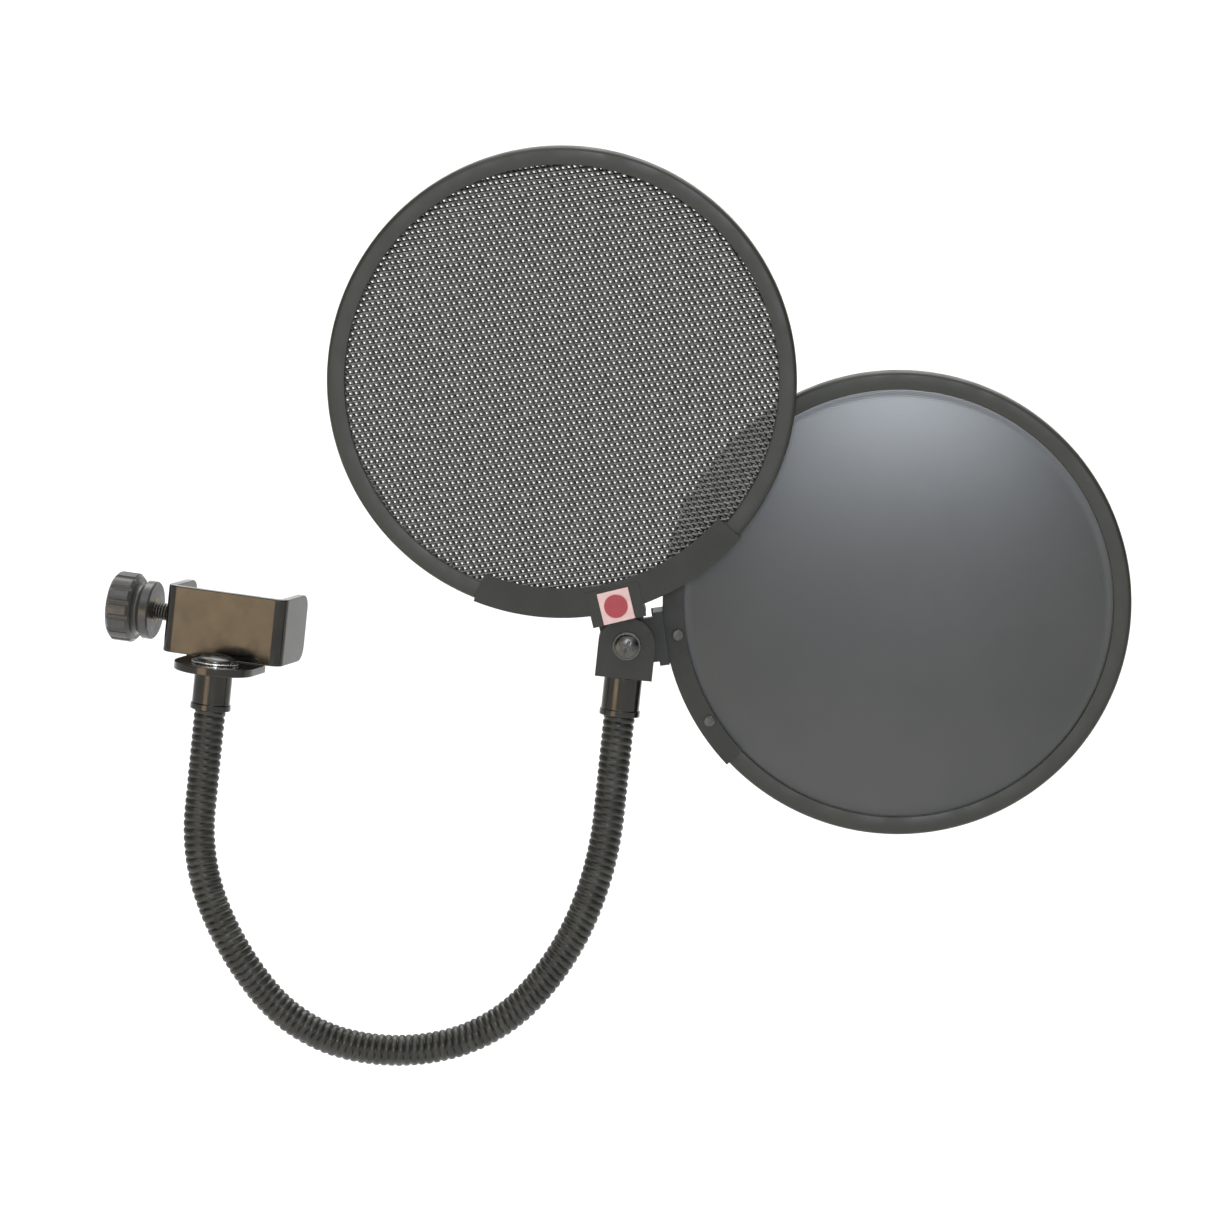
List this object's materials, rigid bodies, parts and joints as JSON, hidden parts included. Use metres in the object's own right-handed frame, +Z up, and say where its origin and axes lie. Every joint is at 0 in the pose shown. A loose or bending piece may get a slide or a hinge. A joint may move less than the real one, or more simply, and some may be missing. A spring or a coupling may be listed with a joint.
{
  "type": "pop filter",
  "caption": "Dual-screen microphone pop filter: a metal mesh screen and a nylon screen on one pivot, a gooseneck, and a screw clamp for a stand.",
  "frame": {"origin": "centre of the fixed jaw's gripping face, where the stand's tube bears", "axes": "+Z up along the stand's tube; the screens lie square to Y and face -Y; the clamp is turned 15 degrees about Z"},
  "size_m": [0.3407, 0.0629, 0.3131],
  "materials": {
    "black_enamel": "gloss black enamel",
    "zinc_plate": "bright zinc plate",
    "black_oxide": "black-oxide steel",
    "jaw_rubber": "matt moulded rubber",
    "knob_plastic": "semi-gloss moulded plastic",
    "brass_bush": "turned brass",
    "neck_black": "satin black wound steel",
    "spring_steel": "oiled spring steel",
    "arm_plastic": "matt moulded plastic",
    "hoop_plastic": "satin moulded plastic",
    "mesh_wire": "satin wire mesh",
    "nylon": "fine stretched nylon",
    "badge_pale": "satin pale enamel",
    "badge_red": "gloss red enamel"
  },
  "bodies": {
    "clamp": {"clamp_bracket": "black_enamel", "thread_insert": "black_oxide", "fixed_jaw_pad": "jaw_rubber"},
    "foot": {"pressure_plate": "zinc_plate", "pressure_pad": "jaw_rubber"},
    "knob": {"clamp_screw": "black_oxide", "retaining_ring": "zinc_plate", "knob_body": "knob_plastic", "knob_bush": "brass_bush", "knob_end_cap": "knob_plastic"},
    "neck_1": {"neck_screw": "black_oxide", "head_washer": "zinc_plate", "swivel_washer": "zinc_plate", "ferrule_lower": "black_enamel", "neck_wrap_1": "neck_black", "neck_core_1": "spring_steel"},
    "neck_2": {"neck_wrap_2": "neck_black", "neck_core_2": "spring_steel"},
    "neck_3": {"neck_wrap_3": "neck_black", "neck_core_3": "spring_steel"},
    "neck_4": {"neck_wrap_4": "neck_black", "neck_core_4": "spring_steel"},
    "neck_5": {"neck_wrap_5": "neck_black", "neck_core_5": "spring_steel"},
    "neck_6": {"neck_wrap_6": "neck_black", "neck_core_6": "spring_steel"},
    "neck_7": {"neck_wrap_7": "neck_black", "neck_core_7": "spring_steel"},
    "neck_8": {"neck_wrap_8": "neck_black", "neck_core_8": "spring_steel"},
    "hub": {"neck_wrap_9": "neck_black", "neck_core_9": "spring_steel", "ferrule_upper": "black_enamel", "hub_fork": "arm_plastic", "hub_stud": "zinc_plate", "pivot_screw": "black_oxide", "pivot_washer": "black_oxide", "pivot_sleeve": "brass_bush", "friction_washers": "jaw_rubber", "nut_washer": "black_oxide", "pivot_nut": "black_oxide"},
    "metal_screen": {"metal_arm": "arm_plastic", "metal_cradle_screws": "black_oxide", "metal_hoop_front": "hoop_plastic", "metal_mesh": "mesh_wire", "metal_gasket": "jaw_rubber", "metal_hoop_rear": "hoop_plastic", "badge_plate": "badge_pale", "badge_dot": "badge_red"},
    "fabric_screen": {"fabric_arm": "arm_plastic", "fabric_cradle_screws": "black_oxide", "fabric_hoop_front": "hoop_plastic", "fabric_front": "nylon", "tension_hoop": "hoop_plastic", "fabric_rear": "nylon", "fabric_hoop_rear": "hoop_plastic"}
  },
  "joints": [
    {"name": "clamp_travel", "type": "slide", "parent": "clamp", "child": "foot", "axis": [0.9659, -0.2588, 0], "range_m": [-0.013, 0.005]},
    {"name": "knob_turn", "type": "hinge", "parent": "foot", "child": "knob", "pos_m": [0, 0, 0], "axis": [0.9659, -0.2588, 0], "range_deg": [-4684, 1804]},
    {"name": "neck_swivel", "type": "hinge", "parent": "clamp", "child": "neck_1", "pos_m": [-0.01832, -0.02201, -0.0147], "axis": [0, 0, 1], "range_deg": [-90, 90]},
    {"name": "neck_bend_1", "type": "hinge", "parent": "neck_1", "child": "neck_2", "pos_m": [-0.01832, -0.02201, -0.0602], "axis": [0, -1, 0], "range_deg": [-20, 3]},
    {"name": "neck_bend_2", "type": "hinge", "parent": "neck_2", "child": "neck_3", "pos_m": [-0.01057, -0.02201, -0.09247], "axis": [0, -1, 0], "range_deg": [-20, 3]},
    {"name": "neck_bend_3", "type": "hinge", "parent": "neck_3", "child": "neck_4", "pos_m": [0.00904, -0.02201, -0.11946], "axis": [0, -1, 0], "range_deg": [-20, 3]},
    {"name": "neck_bend_4", "type": "hinge", "parent": "neck_4", "child": "neck_5", "pos_m": [0.0385, -0.02201, -0.13415], "axis": [0, -1, 0], "range_deg": [-20, 3]},
    {"name": "neck_bend_5", "type": "hinge", "parent": "neck_5", "child": "neck_6", "pos_m": [0.07149, -0.02201, -0.13069], "axis": [0, -1, 0], "range_deg": [-20, 3]},
    {"name": "neck_bend_6", "type": "hinge", "parent": "neck_6", "child": "neck_7", "pos_m": [0.09785, -0.02201, -0.11082], "axis": [0, -1, 0], "range_deg": [-20, 3]},
    {"name": "neck_bend_7", "type": "hinge", "parent": "neck_7", "child": "neck_8", "pos_m": [0.11246, -0.02201, -0.08086], "axis": [0, -1, 0], "range_deg": [-20, 3]},
    {"name": "neck_bend_8", "type": "hinge", "parent": "neck_8", "child": "hub", "pos_m": [0.11711, -0.02201, -0.0478], "axis": [0, -1, 0], "range_deg": [-20, 3]},
    {"name": "metal_screen_swing", "type": "hinge", "parent": "hub", "child": "metal_screen", "pos_m": [0.11711, -0.02201, 0.0097], "axis": [0, 1, 0], "range_deg": [-38, 105]},
    {"name": "fabric_screen_swing", "type": "hinge", "parent": "hub", "child": "fabric_screen", "pos_m": [0.11711, -0.02201, 0.0097], "axis": [0, 1, 0], "range_deg": [-118, 10]}
  ],
  "couplings": [
    {"joint": "knob_turn", "follows": "clamp_travel", "rad_per_m": 6283.2},
    {"joint": "neck_bend_2", "follows": "neck_bend_1", "ratio": 1},
    {"joint": "neck_bend_3", "follows": "neck_bend_1", "ratio": 1},
    {"joint": "neck_bend_4", "follows": "neck_bend_1", "ratio": 1},
    {"joint": "neck_bend_6", "follows": "neck_bend_5", "ratio": 1},
    {"joint": "neck_bend_7", "follows": "neck_bend_5", "ratio": 1},
    {"joint": "neck_bend_8", "follows": "neck_bend_5", "ratio": 1}
  ]
}
